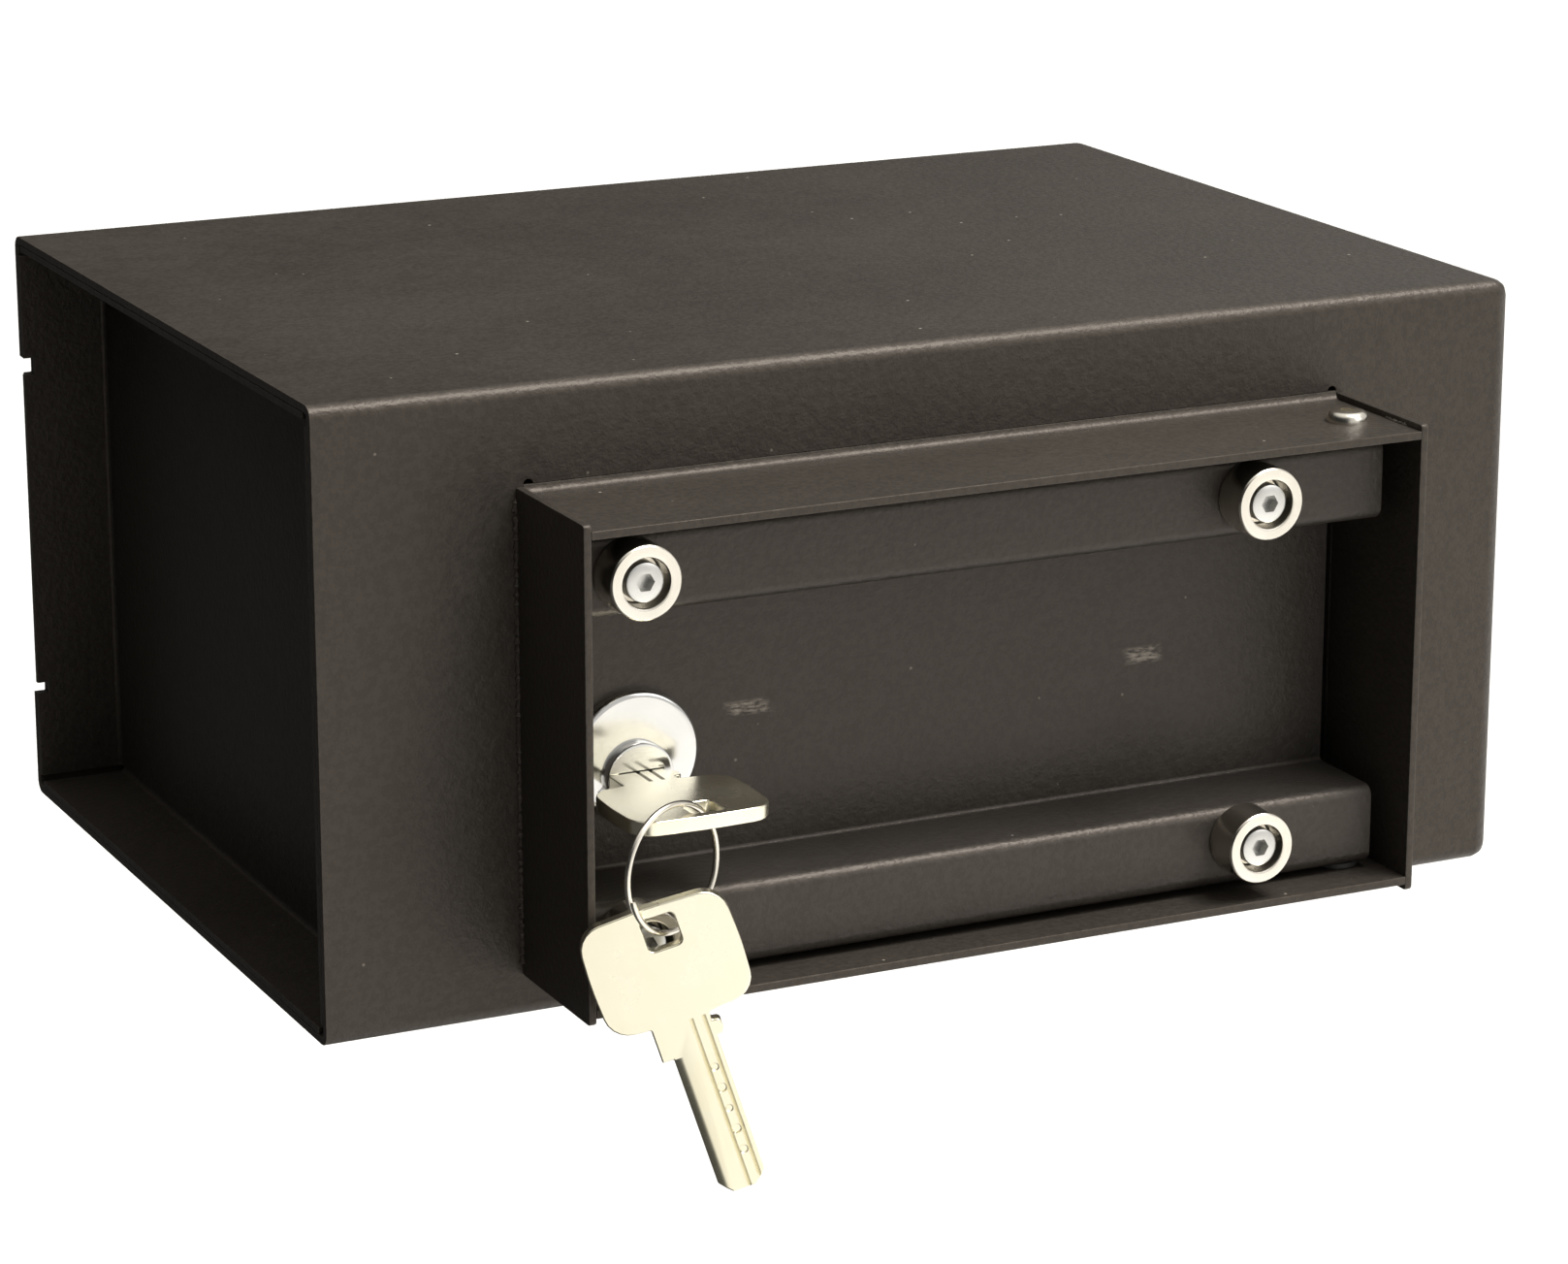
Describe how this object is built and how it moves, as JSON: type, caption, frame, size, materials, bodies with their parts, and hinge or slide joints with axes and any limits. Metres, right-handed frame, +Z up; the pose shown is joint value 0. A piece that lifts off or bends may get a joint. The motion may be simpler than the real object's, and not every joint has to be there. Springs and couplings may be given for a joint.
{
  "type": "parcel drop box",
  "caption": "Wall-mounted folded steel drop box with a recessed hinged service door, cam lock, cover posts and keys on a ring.",
  "frame": {"origin": "centre of the four wall holes, on the outside of the back wall", "axes": "+X to the box's right seen from the front, +Y out of the back into the wall, +Z up"},
  "size_m": [0.24, 0.2065, 0.1359],
  "materials": {
    "box_coat": "fine textured powder coat, warm black",
    "door_coat": "fine textured powder coat, warm black",
    "bright_nickel": "turned and nickel plated",
    "lock_chrome": "polished chrome",
    "zinc_screws": "zinc plated",
    "key_brass": "milled nickel silver, pale brass tint",
    "nylon": "black nylon"
  },
  "bodies": {
    "box": {"housing": "box_coat", "collar_side_left": "box_coat", "collar_side_right": "box_coat", "end_pan": "box_coat", "lock_catch": "zinc_screws", "door_stops": "box_coat"},
    "door": {"door_panel": "door_coat", "pivot_screws": "bright_nickel", "pivot_nuts": "zinc_screws", "pivot_washers": "nylon", "cover_posts": "bright_nickel", "post_screws": "zinc_screws", "post_nuts": "zinc_screws", "lock_body": "lock_chrome", "lock_nut": "zinc_screws", "chamber_cover": "key_brass", "driver_pins": "key_brass", "driver_springs": "zinc_screws"},
    "plug": {"lock_plug": "lock_chrome", "plug_pins": "key_brass", "cam": "zinc_screws", "cam_washer": "zinc_screws", "cam_screw": "zinc_screws"},
    "key": {"lock_key": "key_brass"},
    "ring": {"key_ring": "bright_nickel"},
    "spare": {"spare_key": "key_brass"}
  },
  "joints": [
    {"name": "door_swing", "type": "hinge", "parent": "box", "child": "door", "pos_m": [0.074, -0.1798, 0], "axis": [0, 0, 1], "range_deg": [0, 95]},
    {"name": "plug_turn", "type": "hinge", "parent": "door", "child": "plug", "pos_m": [-0.0632, -0.17, -0.0135], "axis": [0, -1, 0], "range_deg": [0, 90]},
    {"name": "key_draw", "type": "slide", "parent": "plug", "child": "key", "axis": [0, -1, 0], "range_m": [0, 0.036]},
    {"name": "ring_swing", "type": "hinge", "parent": "key", "child": "ring", "pos_m": [-0.06896, -0.19711, -0.0135], "axis": [-0.9135, -0.4067, 0], "range_deg": [-2, 16]},
    {"name": "spare_swing", "type": "hinge", "parent": "ring", "child": "spare", "pos_m": [-0.07376, -0.19925, -0.03126], "axis": [0.342, 0.9397, 0], "range_deg": [-10, 20]}
  ]
}
